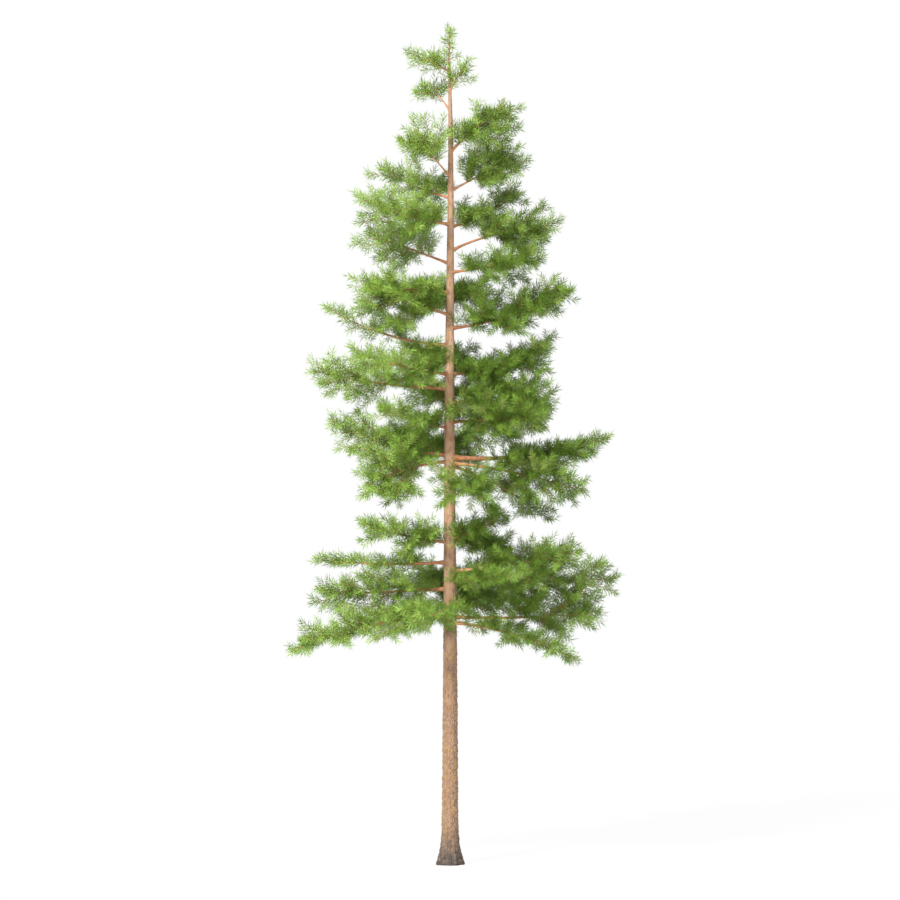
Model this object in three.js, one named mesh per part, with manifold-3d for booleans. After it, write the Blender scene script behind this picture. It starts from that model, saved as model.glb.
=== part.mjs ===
// A Scots pine as three.js solids: one straight trunk, the boughs whose wood shows bare, and the masses of
// needled twigs round them. Millimetres, +Z up. The origin is the middle of the flat cut under the trunk.
// Seen from the front (looking along +Y), azimuth 0 is to the right, 90 to the back and 180 to the left.
import * as THREE from "three";
import { mergeVertices } from "three/addons/utils/BufferGeometryUtils.js";
import Module from "manifold-3d";

const wasm = await Module();
wasm.setup();

// ---- driving dimensions
const TREE_HEIGHT = 12000;
const LEADER_LENGTH = 600; // the needled shoots above the woody trunk
const TRUNK_TOP = TREE_HEIGHT - LEADER_LENGTH;
const TRUNK_RADIUS = 115; // at the ground, without the root flare
const TRUNK_TAPER = 0.65; // exponent of the share of the height that is left above
const FLARE = { radius: 80, height: 210, lobes: 5, depth: 0.07 };
const TRUNK_SWAY = 14;
const TIP_LEAN = 40;
const SEAT_GAP = 0.3; // between pieces that meet
const CLEARANCE = 2; // between pieces that pass each other

// ---- limbs and twigs
const LIMB_RADIUS = (limb) => (0.009 * limb.reach + 7) * (limb.girth ?? 1);
const TIP_RADIUS_SHARE = 0.24;
const STEM_END = 0.88; // where a mass's stem stops, as a share of its reach
const TWIG = { core: 40, swell: 1.15, needles: 170, lean: 0.8, curl: 0.1, bare: 0.18, tip: 0.84, full: 600 };
const SHRINKS = [1, 0.8, 0.62]; // tried in turn where a twig would touch its neighbours

// A limb leaves the trunk's axis at height, runs out to reach at azimuth, starts upwards at rise degrees
// and ends lift above its foot. Its wood is bare to the share bare of the reach. Its longest side twigs measure
// fan, and stand by turns up and down degrees from level. An own bough is a node apart from its needles.
const COLUMNS = ["name", "height", "azimuth", "reach", "rise", "lift", "bare", "fan", "up", "down", "twigs", "own"];
const LIMBS = [
  ["01_left", 3530, 188, 2330, 0, -500, 0.05, 740, 20, 26, 11],
  ["01_right", 3530, 8, 2200, -3, 60, 0.42, 840, 45, 25, 9, true],
  ["01_droop", 3450, 336, 1980, -3, -520, 0.3, 540, 25, 20, 8],
  ["01_back", 3620, 72, 1950, 5, 120, 0.12, 770, 25, 20, 8],
  ["01_front", 3560, 258, 1850, 0, 80, 0.1, 570, 15, 48, 7],
  ["02_right", 4060, 12, 2480, -3, 0, 0.1, 950, 38, 50, 11],
  ["02_right_up", 4180, 342, 1960, 4, 300, 0.32, 750, 12, 40, 8],
  ["02_left", 3930, 160, 2000, -4, -90, 0.08, 700, 12, 55, 7],
  ["02_back", 3980, 90, 2000, 4, 40, 0.1, 770, 10, 25, 8],
  ["02_front", 4060, 300, 1650, 0, 100, 0.22, 550, 12, 30, 7],
  ["03_left", 4310, 184, 1950, -4, 40, 0.18, 360, 12, 8, 8, true],
  ["04_left", 4590, 206, 1400, 4, 300, 0.08, 580, 20, 55, 9],
  ["04_right", 4640, 320, 980, 8, 380, 0.1, 510, 35, 15, 5],
  ["04_back", 4620, 38, 900, 0, -100, 0.1, 520, 10, 20, 7],
  ["05_right", 5800, 5, 2300, -4, 280, 0.36, 590, 0, 60, 9, true],
  ["05_right_low", 5720, 343, 2020, -4, -420, 0.33, 700, 30, 60, 10, true],
  ["05_hanging", 5690, 32, 1750, -14, -830, 0.4, 480, 25, 45, 5],
  ["05_left", 5830, 172, 1740, 5, 480, 0.1, 720, 16, 55, 10],
  ["05_left_low", 5740, 204, 1300, -2, -350, 0.28, 750, 50, 50, 9, true],
  ["05_front", 5600, 282, 1500, -8, -300, 0.34, 700, 20, 40, 8],
  ["05_back", 5870, 96, 1950, 3, 60, 0.1, 770, 30, 30, 8],
  ["06_left", 6220, 220, 1230, 6, 260, 0.08, 620, 25, 40, 7],
  ["06_right", 6300, 322, 1600, 4, 60, 0.08, 660, 40, 60, 10],
  ["07_right", 6580, 356, 1460, 1, -60, 0.12, 770, 42, 60, 10],
  ["07_back", 6620, 105, 1700, 4, 200, 0.1, 700, 30, 40, 7],
  ["08_left", 6780, 176, 2000, 2, 260, 0.34, 770, 25, 50, 10, true],
  ["09_right", 7000, 5, 1430, -4, 440, 0.1, 770, 5, 55, 10],
  ["09_left", 6980, 222, 1700, 5, 250, 0.08, 660, 35, 40, 9],
  ["10_left", 7400, 163, 1900, 2, 580, 0.34, 360, 20, 50, 5, true],
  ["10_back", 7150, 104, 1600, 8, 180, 0.08, 680, 15, 30, 7],
  ["11_right", 7640, 352, 1760, 6, 540, 0.16, 730, 35, 25, 11, true],
  ["12_left", 7830, 200, 1300, 16, 330, 0.15, 770, 22, 60, 10],
  ["12_left_up", 8150, 215, 1450, 4, 30, 0.08, 570, 0, 30, 6],
  ["12_back", 8020, 80, 1450, 10, 250, 0.08, 620, 15, 30, 7],
  ["13_left", 8560, 158, 1320, 20, 480, 0.2, 660, 60, 55, 10, true],
  ["13_right", 8740, 18, 1480, 27, 290, 0.3, 700, 18, 55, 10, true],
  ["13_front", 8440, 330, 1400, 3, 260, 0.2, 620, 5, 42, 9],
  ["14_left", 9120, 212, 1480, 6, 320, 0.08, 680, 25, 40, 10],
  ["14_back", 9080, 42, 1330, 14, 560, 0.1, 560, 30, 50, 7],
  ["15_right", 9600, 22, 1010, 28, 500, 0.22, 620, 45, 30, 9, true],
  ["15_left", 9780, 222, 700, 45, 460, 0.3, 590, 60, 0, 8, true],
  ["15_back", 9500, 150, 1180, 14, 460, 0.1, 590, 40, 40, 8],
  ["16_right", 10150, 332, 960, 45, 500, 0.1, 570, 20, 70, 10],
  ["17_left", 10730, 150, 470, 58, 230, 0.3, 320, 60, 20, 6],
  ["18_right", 11020, 318, 340, 55, 390, 0.12, 240, 20, 60, 4],
  ["19_left", 11300, 205, 630, 25, 250, 0.15, 300, 10, 50, 5],
].map((row) => Object.fromEntries(COLUMNS.map((column, i) => [column, row[i]])));
const GIRTHS = { "05_right": 1.35, "05_left_low": 1.2 };
const LEADER = { stem: 0.72, shoots: 7, turn: 137, rise: 0.5, side: 190, top: 230 };

// ---- the looks of the wood and of the needles
const BARK = new THREE.MeshStandardMaterial({ color: 0xb58a66, roughness: 0.9, metalness: 0 });
const BOUGH_BARK = new THREE.MeshStandardMaterial({ color: 0xa8683f, roughness: 0.85, metalness: 0 });
const NEEDLES = new THREE.MeshStandardMaterial({ color: 0x55772c, roughness: 0.7, metalness: 0 });

const UP = new THREE.Vector3(0, 0, 1);
const radians = THREE.MathUtils.degToRad;

// The same draws for the same seed, from 0 to 1.
function seeded(seed) {
  const modulus = 2147483647;
  let state = (seed * 7919 + 104729) % modulus;
  return () => {
    state = (state * 16807) % modulus;
    return state / modulus;
  };
}

// ---- between meshes and solids
function solidOf(geometry) {
  geometry.deleteAttribute("normal");
  geometry.deleteAttribute("uv");
  const merged = mergeVertices(geometry, 1e-3);
  return new wasm.Manifold(
    new wasm.Mesh({
      numProp: 3,
      vertProperties: new Float32Array(merged.attributes.position.array),
      triVerts: new Uint32Array(merged.index.array),
    }),
  );
}

function meshOf(name, solid, material) {
  const made = solid.getMesh();
  const geometry = new THREE.BufferGeometry();
  geometry.setAttribute("position", new THREE.BufferAttribute(made.vertProperties, made.numProp));
  geometry.setIndex(new THREE.BufferAttribute(made.triVerts, 1));
  geometry.computeVertexNormals();
  const mesh = new THREE.Mesh(geometry, material);
  mesh.name = name;
  return mesh;
}

// ---- the trunk
function trunkCentre(height) {
  const share = height / TREE_HEIGHT;
  const sway = TRUNK_SWAY * share * Math.sin(3 * Math.PI * share);
  return new THREE.Vector3(sway - TIP_LEAN * share ** 16, 0.6 * sway, height);
}

function trunkRadius(height, angle = 0) {
  const stem = TRUNK_RADIUS * Math.pow(1 - height / TREE_HEIGHT, TRUNK_TAPER);
  const foot = Math.exp(-((height / FLARE.height) ** 1.2));
  const lobe = 1 + FLARE.depth * foot * Math.cos(FLARE.lobes * angle);
  return (stem + FLARE.radius * foot) * lobe;
}

// The trunk's rings lie closer together in the flare. Grown, it is what cuts a limb to its seat.
function trunk(grown = 0) {
  const sides = 15;
  const rings = 16;
  const shape = new THREE.CylinderGeometry(1, 1, 1, sides, rings).rotateX(Math.PI / 2);
  const places = shape.attributes.position;
  for (let i = 0; i < places.count; i++) {
    const height = TRUNK_TOP * Math.pow(places.getZ(i) + 0.5, 1.7);
    const angle = Math.atan2(places.getY(i), places.getX(i));
    const radius = Math.hypot(places.getX(i), places.getY(i)) * (trunkRadius(height, angle) + grown);
    const centre = trunkCentre(height);
    places.setXYZ(i, centre.x + radius * Math.cos(angle), centre.y + radius * Math.sin(angle), height);
  }
  return solidOf(shape);
}

// ---- limbs
function limbCurve(limb) {
  const foot = trunkCentre(limb.height);
  const way = new THREE.Vector3(Math.cos(radians(limb.azimuth)), Math.sin(radians(limb.azimuth)), 0);
  const half = limb.reach / 2;
  const knee = foot.clone().addScaledVector(way, half);
  knee.z += half * Math.tan(radians(limb.rise));
  const tip = foot.clone().addScaledVector(way, limb.reach);
  tip.z += limb.lift;
  return new THREE.QuadraticBezierCurve3(foot, knee, tip);
}

// Two directions square to a line that isn't upright: one level, one in the upright plane.
function acrossOf(along) {
  const side = new THREE.Vector3().crossVectors(UP, along).normalize();
  return { side, over: new THREE.Vector3().crossVectors(along, side) };
}

// A tapering limb of round section along a stretch of a curve.
function limbTube(curve, from, to, radiusAt, sides, rings) {
  const shape = new THREE.CylinderGeometry(1, 1, 1, sides, rings).rotateX(Math.PI / 2);
  const places = shape.attributes.position;
  for (let i = 0; i < places.count; i++) {
    const t = from + (to - from) * (places.getZ(i) + 0.5);
    const { side, over } = acrossOf(curve.getTangent(t));
    const place = curve
      .getPoint(t)
      .addScaledVector(side, places.getX(i) * radiusAt(t))
      .addScaledVector(over, places.getY(i) * radiusAt(t));
    places.setXYZ(i, place.x, place.y, place.z);
  }
  return solidOf(shape);
}

// ---- twigs
// A twig in needles: a slim core that widens from a point to a triangle, runs on to another that is turned
// by half a side, and comes to a point. Each face between the triangles is drawn out into a needle.
function needledTwig(foot, along, length, random) {
  const { side, over } = acrossOf(along);
  const phase = random() * 2 * Math.PI;
  const size = Math.min(1, 0.45 + length / TWIG.full);
  const outward = (angle) =>
    new THREE.Vector3().addScaledVector(side, Math.cos(angle)).addScaledVector(over, Math.sin(angle));
  const centreAt = (share) =>
    foot
      .clone()
      .addScaledVector(along, share * length)
      .addScaledVector(UP, TWIG.curl * length * share * share);
  const triangleAt = (share, radius, turn) =>
    [0, 1, 2].map((j) => centreAt(share).addScaledVector(outward(turn + (2 * j * Math.PI) / 3), size * radius));
  const low = triangleAt(TWIG.bare, TWIG.core, phase);
  const high = triangleAt(TWIG.tip, TWIG.core * TWIG.swell, phase + Math.PI / 3);
  const tip = centreAt(1);

  const faces = [];
  const needle = (corners, angle) => {
    const reach = size * TWIG.needles * (0.75 + 0.5 * random());
    const point = new THREE.Vector3();
    for (const corner of corners) point.addScaledVector(corner, 1 / 3);
    point.addScaledVector(outward(angle), reach - size * TWIG.core).addScaledVector(along, reach * TWIG.lean);
    for (let i = 0; i < 3; i++) faces.push([corners[i], corners[(i + 1) % 3], point]);
  };
  for (let j = 0; j < 3; j++) {
    const next = (j + 1) % 3;
    const turn = phase + (2 * j * Math.PI) / 3;
    faces.push([low[next], low[j], foot], [high[j], high[next], tip]);
    needle([low[j], low[next], high[j]], turn + Math.PI / 3);
    needle([low[next], high[next], high[j]], turn + (2 * Math.PI) / 3);
  }
  return solidOf(new THREE.BufferGeometry().setFromPoints(faces.flat()));
}

// The side twigs of a limb: their feet on its stem, their directions and lengths. They stand in turn on its
// two sides, two raised and two drooping, lean forward more towards the tip, and shorten there.
function sideTwigs(limb, curve, random) {
  const start = Math.max(limb.bare, 0.07);
  return Array.from({ length: limb.twigs }, (_, i) => {
    const share = (i + 0.35 + 0.4 * random()) / limb.twigs;
    const t = start + (STEM_END - 0.06 - start) * share;
    const along = curve.getTangent(t);
    const { side, over } = acrossOf(along);
    const hand = i % 2 ? 1 : -1;
    const pitch = radians(((i >> 1) % 2 ? -limb.down : limb.up) * (1.15 - 0.5 * share) + 16 * (random() - 0.5));
    const open = radians(62 - 22 * share + 14 * (random() - 0.5));
    const way = along
      .clone()
      .multiplyScalar(Math.cos(open))
      .addScaledVector(side, hand * Math.cos(pitch) * Math.sin(open))
      .addScaledVector(over, Math.sin(pitch) * Math.sin(open));
    const length = limb.fan * (0.62 + 0.38 * Math.sin(Math.PI * (0.2 + 0.75 * share))) * (0.85 + 0.3 * random());
    return { foot: curve.getPoint(t), along: way.normalize(), length };
  });
}

// ---- solids that are placed already, and the test that a new one keeps clear of them
const placed = [];

function place(owner, solid) {
  placed.push({ owner, solid, box: solid.boundingBox() });
  return solid;
}

function isClear(solid, ...owners) {
  const box = solid.boundingBox();
  const near = (other) =>
    [0, 1, 2].every((k) => box.min[k] - CLEARANCE < other.max[k] && other.min[k] - CLEARANCE < box.max[k]);
  return placed.every(
    (other) => owners.includes(other.owner) || !near(other.box) || other.solid.minGap(solid, CLEARANCE) >= CLEARANCE,
  );
}

// The longest twig of this kind that touches nothing, or null.
function twigThatFits(owner, { foot, along, length }, random) {
  const seed = Math.floor(1 + 1e6 * random());
  for (const shrink of SHRINKS) {
    const twig = needledTwig(foot, along, length * shrink, seeded(seed));
    if (isClear(twig, owner)) return place(owner, twig);
  }
  return null;
}

function largestBody(solid) {
  return solid.decompose().sort((a, b) => b.volume() - a.volume())[0];
}

// ---- the whole tree
const pine = new THREE.Group();
const trunkSolid = place("trunk", trunk());
const trunkCutter = trunk(SEAT_GAP);
pine.add(meshOf("trunk", trunkSolid, BARK));

for (const limb of LIMBS) {
  limb.girth = GIRTHS[limb.name];
  const radiusAt = (t) => LIMB_RADIUS(limb) * (1 - (1 - TIP_RADIUS_SHARE) * t ** 0.8);
  limb.curve = limbCurve(limb);
  let from = 0;
  if (limb.own) {
    const bough = limbTube(limb.curve, 0, limb.bare, radiusAt, 6, 2).subtract(trunkCutter);
    pine.add(meshOf("bough_" + limb.name, place("bough_" + limb.name, bough), BOUGH_BARK));
    from = limb.bare + SEAT_GAP / limb.reach;
  }
  limb.stem = limbTube(limb.curve, from, STEM_END, radiusAt, 3, 3).subtract(trunkCutter);
  if (!isClear(limb.stem, "trunk", "bough_" + limb.name)) throw new Error(limb.name + " meets another limb");
  place(limb.name, limb.stem);
}

LIMBS.forEach((limb, index) => {
  const random = seeded(index + 1);
  const way = limb.curve.getTangent(STEM_END);
  const foot = limb.curve.getPoint(STEM_END - 0.05);
  const end = { foot, along: way, length: Math.max(limb.curve.getPoint(1).distanceTo(foot), 190) };
  const twigs = [end, ...sideTwigs(limb, limb.curve, random)]
    .map((twig) => twigThatFits(limb.name, twig, random))
    .filter((twig) => twig);
  const mass = largestBody(wasm.Manifold.union([limb.stem, ...twigs]));
  pine.add(meshOf("foliage_" + limb.name, mass, NEEDLES));
});

// The leader: the last shoot, upright on the trunk's tip, with side shoots that climb round it.
{
  const random = seeded(LIMBS.length + 1);
  const foot = trunkCentre(TRUNK_TOP).add(new THREE.Vector3(0, 0, SEAT_GAP));
  const radius = trunkRadius(TRUNK_TOP);
  const length = LEADER.stem * LEADER_LENGTH;
  const stem = new THREE.CylinderGeometry(radius * 0.4, radius, length, 5)
    .rotateX(Math.PI / 2)
    .translate(foot.x, foot.y, foot.z + length / 2);
  const shoots = Array.from({ length: LEADER.shoots }, (_, i) => {
    const share = i / (LEADER.shoots - 1);
    const angle = i * radians(LEADER.turn);
    const along = new THREE.Vector3(Math.cos(angle), Math.sin(angle), LEADER.rise + share).normalize();
    const at = foot.clone().addScaledVector(UP, length * (0.15 + 0.8 * share));
    return { foot: at, along, length: LEADER.side * (1 - 0.35 * share) };
  });
  const nearlyUp = new THREE.Vector3(-0.08, 0.05, 1).normalize();
  shoots.push({ foot: foot.clone().addScaledVector(UP, length * 0.8), along: nearlyUp, length: LEADER.top });
  const twigs = shoots.map((shoot) => twigThatFits("leader", shoot, random)).filter((twig) => twig);
  const mass = largestBody(wasm.Manifold.union([solidOf(stem), ...twigs]));
  pine.add(meshOf("foliage_leader", mass, NEEDLES));
}

export default pine;
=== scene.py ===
"""The looks of the pine tree: bark on the trunk and the boughs, and needled twigs for each foliage mass.

Lengths are in metres. Seen from the front (looking along +Y), azimuth 0 is to the right and 90 to the back.
"""

import math

import bpy
import numpy as np
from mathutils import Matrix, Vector


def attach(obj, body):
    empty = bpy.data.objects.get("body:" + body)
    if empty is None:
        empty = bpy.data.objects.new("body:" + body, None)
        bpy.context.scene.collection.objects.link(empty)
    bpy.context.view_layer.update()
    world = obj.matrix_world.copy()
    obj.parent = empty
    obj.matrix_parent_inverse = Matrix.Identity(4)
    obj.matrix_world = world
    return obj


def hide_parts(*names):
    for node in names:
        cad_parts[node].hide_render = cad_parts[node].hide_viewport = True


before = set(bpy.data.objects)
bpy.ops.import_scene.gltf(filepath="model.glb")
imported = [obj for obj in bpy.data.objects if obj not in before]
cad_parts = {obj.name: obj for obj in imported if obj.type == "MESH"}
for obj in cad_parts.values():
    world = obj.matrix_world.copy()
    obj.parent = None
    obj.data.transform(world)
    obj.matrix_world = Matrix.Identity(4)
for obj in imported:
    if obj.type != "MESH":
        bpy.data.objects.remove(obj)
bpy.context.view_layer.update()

# ---- the tree's measures, as in the part's source
TREE_HEIGHT = 12.0
LEADER_LENGTH = 0.6
TRUNK_TOP = TREE_HEIGHT - LEADER_LENGTH
TRUNK_RADIUS = 0.115  # at the ground, without the root flare
TRUNK_TAPER = 0.65  # exponent of the share of the height that is left above
FLARE_RADIUS = 0.08
FLARE_HEIGHT = 0.21
FLARE_FALL = 1.2  # exponent of the height in the flare's fall
FLARE_LOBES = 5
FLARE_DEPTH = 0.07  # how far its lobes stand out, as a share of the radius
TRUNK_SWAY = 0.014  # to the side
SWAY_BACK = 0.6  # the sway to the back as a share of that
TIP_LEAN = 0.04  # to the left at the very top
LIMB_RADIUS = 0.007
RADIUS_BY_REACH = 0.009  # what a limb's reach adds to its radius
LIMB_TAPER = 0.8  # exponent of the place along a limb, as its radius falls
TIP_RADIUS_SHARE = 0.24  # of a limb's radius at its foot
STEM_END = 0.88  # where a mass's stem stops, as a share of its reach
FIRST_TWIG = 0.07  # where a limb's twigs begin at the earliest
LAST_TWIG = STEM_END - 0.06
END_TWIG = STEM_END - 0.05  # where the twig starts that carries the limb on to its tip
SHORTEST_END_TWIG = 0.19
TWIG_CURL = 0.1  # how far a twig's tip is raised, as a share of its length

# A limb leaves the trunk's axis at height, runs out to reach at azimuth, starts upwards at rise degrees and
# ends lift above its foot. Its wood is bare to the share bare of the reach. Its longest side twigs measure
# fan, and stand by turns up and down degrees from level. An own bough is a node apart from its needles.
# Lengths here are in millimetres.
COLUMNS = "name height azimuth reach rise lift bare fan up down twigs own".split()
LIMB_ROWS = [
    ["01_left", 3530, 188, 2330, 0, -500, 0.05, 740, 20, 26, 11],
    ["01_right", 3530, 8, 2200, -3, 60, 0.42, 840, 45, 25, 9, True],
    ["01_droop", 3450, 336, 1980, -3, -520, 0.3, 540, 25, 20, 8],
    ["01_back", 3620, 72, 1950, 5, 120, 0.12, 770, 25, 20, 8],
    ["01_front", 3560, 258, 1850, 0, 80, 0.1, 570, 15, 48, 7],
    ["02_right", 4060, 12, 2480, -3, 0, 0.1, 950, 38, 50, 11],
    ["02_right_up", 4180, 342, 1960, 4, 300, 0.32, 750, 12, 40, 8],
    ["02_left", 3930, 160, 2000, -4, -90, 0.08, 700, 12, 55, 7],
    ["02_back", 3980, 90, 2000, 4, 40, 0.1, 770, 10, 25, 8],
    ["02_front", 4060, 300, 1650, 0, 100, 0.22, 550, 12, 30, 7],
    ["03_left", 4310, 184, 1950, -4, 40, 0.18, 360, 12, 8, 8, True],
    ["04_left", 4590, 206, 1400, 4, 300, 0.08, 580, 20, 55, 9],
    ["04_right", 4640, 320, 980, 8, 380, 0.1, 510, 35, 15, 5],
    ["04_back", 4620, 38, 900, 0, -100, 0.1, 520, 10, 20, 7],
    ["05_right", 5800, 5, 2300, -4, 280, 0.36, 590, 0, 60, 9, True],
    ["05_right_low", 5720, 343, 2020, -4, -420, 0.33, 700, 30, 60, 10, True],
    ["05_hanging", 5690, 32, 1750, -14, -830, 0.4, 480, 25, 45, 5],
    ["05_left", 5830, 172, 1740, 5, 480, 0.1, 720, 16, 55, 10],
    ["05_left_low", 5740, 204, 1300, -2, -350, 0.28, 750, 50, 50, 9, True],
    ["05_front", 5600, 282, 1500, -8, -300, 0.34, 700, 20, 40, 8],
    ["05_back", 5870, 96, 1950, 3, 60, 0.1, 770, 30, 30, 8],
    ["06_left", 6220, 220, 1230, 6, 260, 0.08, 620, 25, 40, 7],
    ["06_right", 6300, 322, 1600, 4, 60, 0.08, 660, 40, 60, 10],
    ["07_right", 6580, 356, 1460, 1, -60, 0.12, 770, 42, 60, 10],
    ["07_back", 6620, 105, 1700, 4, 200, 0.1, 700, 30, 40, 7],
    ["08_left", 6780, 176, 2000, 2, 260, 0.34, 770, 25, 50, 10, True],
    ["09_right", 7000, 5, 1430, -4, 440, 0.1, 770, 5, 55, 10],
    ["09_left", 6980, 222, 1700, 5, 250, 0.08, 660, 35, 40, 9],
    ["10_left", 7400, 163, 1900, 2, 580, 0.34, 360, 20, 50, 5, True],
    ["10_back", 7150, 104, 1600, 8, 180, 0.08, 680, 15, 30, 7],
    ["11_right", 7640, 352, 1760, 6, 540, 0.16, 730, 35, 25, 11, True],
    ["12_left", 7830, 200, 1300, 16, 330, 0.15, 770, 22, 60, 10],
    ["12_left_up", 8150, 215, 1450, 4, 30, 0.08, 570, 0, 30, 6],
    ["12_back", 8020, 80, 1450, 10, 250, 0.08, 620, 15, 30, 7],
    ["13_left", 8560, 158, 1320, 20, 480, 0.2, 660, 60, 55, 10, True],
    ["13_right", 8740, 18, 1480, 27, 290, 0.3, 700, 18, 55, 10, True],
    ["13_front", 8440, 330, 1400, 3, 260, 0.2, 620, 5, 42, 9],
    ["14_left", 9120, 212, 1480, 6, 320, 0.08, 680, 25, 40, 10],
    ["14_back", 9080, 42, 1330, 14, 560, 0.1, 560, 30, 50, 7],
    ["15_right", 9600, 22, 1010, 28, 500, 0.22, 620, 45, 30, 9, True],
    ["15_left", 9780, 222, 700, 45, 460, 0.3, 590, 60, 0, 8, True],
    ["15_back", 9500, 150, 1180, 14, 460, 0.1, 590, 40, 40, 8],
    ["16_right", 10150, 332, 960, 45, 500, 0.1, 570, 20, 70, 10],
    ["17_left", 10730, 150, 470, 58, 230, 0.3, 320, 60, 20, 6],
    ["18_right", 11020, 318, 340, 55, 390, 0.12, 240, 20, 60, 4],
    ["19_left", 11300, 205, 630, 25, 250, 0.15, 300, 10, 50, 5],
]
LENGTH_COLUMNS = ["height", "reach", "lift", "fan"]
GIRTHS = {"05_right": 1.35, "05_left_low": 1.2}  # limbs that are thicker than others of their reach
LEADER_STEM = 0.72 * LEADER_LENGTH
LEADER_SHOOTS = 7
LEADER_TURN = 137  # degrees from one shoot to the next
LEADER_RISE = 0.5  # of its lowest side shoot
LEADER_SIDE = 0.19  # the length of that shoot
LEADER_TOP = 0.23  # the length of the shoot at the top

# ---- what the scene adds to the source's limbs and twigs
WOOD_SHARE = 1.08  # a limb's radius with its bark, as a share of the solid's
FINER_END = 0.6  # how much finer a limb's wood is at its tip than in the solid
FINER_FROM = 0.4  # where along the limb that begins
PAST_TIP = 0.066  # how far needles and shoots reach past the tip of a twig's wood
SHOOT_PAST = 0.045  # how far a shoot may run on past the tip it stands near
SHOOT_SPACING = 0.078  # between the shoots along a twig
SHOOT_STRETCH = (0.1, 0.98)  # of the twig
FEWEST_SHOOTS = 4
SHOOT_SHARE = 0.42  # a shoot's length as a share of its twig's
SHOOT_LENGTHS = (0.14, 0.28)  # from the shortest to the longest
SHOOT_UP = 40  # shoots and inner twigs stand by turns up and down from level, in degrees
SHOOT_DOWN = 35
LIMB_SHOOT_SPACING = 0.09  # between the shoots that stand on the limb itself
LIMB_SHOOT_LENGTH = 0.2
LIMB_SHOOTS_EARLY = 0.03  # how far along the limb they begin before its first twig
LIMB_SHOOTS_END = 0.97
# A limb's filling twigs: their count as a share of its own twigs, how steeply they stand as a share of its
# up and down, their fan as a share of its own, and how far out along it they end.
FILLING = (0.85, 0.6, 0.72, 0.79)
FILLS = {
    "01_left": (1.5, 0.9, 0.72, 0.84),
    "02_left": (2.3, 1.3, 0.95, 0.82),
    "02_back": (0.5, 0.6, 0.6, 0.79),
    "05_left": (1.2, 1.0, 0.72, 0.79),
    "05_left_low": (1.5, 1.0, 0.8, 0.79),
    "12_left": (1.6, 1.15, 0.85, 0.79),
    "13_front": (0.5, 0.4, 0.72, 0.79),
    "14_left": (1.3, 1.0, 0.72, 0.79),
    "15_right": (1.3, 1.2, 0.72, 0.79),
}
OPEN_FEET = ["02_left", "02_right", "02_back"]  # limbs with no inner twigs by the trunk
LEAFY_FEET = ["01_droop", "11_right"]  # limbs with inner twigs, though their foot is bare
BARE_ENOUGH = 0.16  # the other limbs that are bare this far have no inner twigs either
INNER_TWIGS = 6
INNER_STRETCH = (0.04, 0.3)  # of the limb
INNER_LENGTH = 0.3
INNER_LENGTHS = {"09_left": 0.46, "12_left": 0.42}  # longer ones, which fill a place by the trunk
LEAFY_SHARE = 0.6  # the length of inner twigs at a leafy foot, as a share of that
KEPT_BELOW = 9.0  # up to this height the spray at a limb's tip isn't thinned
GOLDEN_ANGLE = math.radians(137.5)
UP = np.array([0.0, 0.0, 1.0])


def seeded(seed):
    """The source's own draws from 0 to 1, the same ones for the same seed."""
    modulus = 2147483647
    state = (seed * 7919 + 104729) % modulus

    def draw():
        nonlocal state
        state = (state * 16807) % modulus
        return state / modulus

    return draw


def unit(vectors):
    return vectors / np.linalg.norm(vectors, axis=-1, keepdims=True)


def across_of(along):
    """Two directions square to each line: one level, one in the upright plane."""
    side = unit(np.cross(np.broadcast_to(UP, along.shape), along))
    return side, np.cross(along, side)


def turned(first, second, angle):
    """The directions that lie at an angle from the first ones, towards the second ones."""
    return first * np.cos(angle)[..., None] + second * np.sin(angle)[..., None]


def circle(sides):
    """The angles of a round section's corners."""
    return np.linspace(0, 2 * math.pi, sides, endpoint=False)


def smoothstep(low, high, values):
    share = np.clip((values - low) / (high - low), 0, 1)
    return share * share * (3 - 2 * share)


# ---- meshes
def mesh_object(name, points, faces, materials, face_material=None):
    """One smooth mesh from arrays: points (n, 3), and faces of three or four corners (m, k)."""
    mesh = bpy.data.meshes.new(name)
    corners = faces.shape[1]
    mesh.vertices.add(len(points))
    mesh.vertices.foreach_set("co", points.astype(np.float32).ravel())
    mesh.loops.add(faces.size)
    mesh.loops.foreach_set("vertex_index", faces.astype(np.int32).ravel())
    mesh.polygons.add(len(faces))
    mesh.polygons.foreach_set("loop_start", np.arange(0, faces.size, corners, dtype=np.int32))
    for material in materials:
        mesh.materials.append(material)
    if face_material is not None:
        mesh.polygons.foreach_set("material_index", face_material.astype(np.int32))
    mesh.polygons.foreach_set("use_smooth", np.full(len(faces), True))
    mesh.update(calc_edges=True)
    piece = bpy.data.objects.new(name, mesh)
    bpy.context.scene.collection.objects.link(piece)
    return piece


def dress(piece, slot, *nodes):
    """The piece rides on the tree and stands for these CAD nodes. Its slot is not used."""
    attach(piece, "root")
    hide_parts(*nodes)


def ring_faces(index):
    """The faces between neighbouring rings, from their points' numbers (..., rings, sides)."""
    low, high = index[..., :-1, :], index[..., 1:, :]
    next_low, next_high = np.roll(low, -1, -1), np.roll(high, -1, -1)
    lower = np.stack([low, next_low, next_high], axis=-1)
    upper = np.stack([low, next_high, high], axis=-1)
    return np.vstack([lower.reshape(-1, 3), upper.reshape(-1, 3)])


def fan_faces(rings, middles):
    """The faces from each ring's points (..., sides) to its middle point (..., 1)."""
    middles = np.broadcast_to(middles, rings.shape)
    return np.stack([rings, np.roll(rings, -1, -1), middles], axis=-1).reshape(-1, 3)


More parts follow.
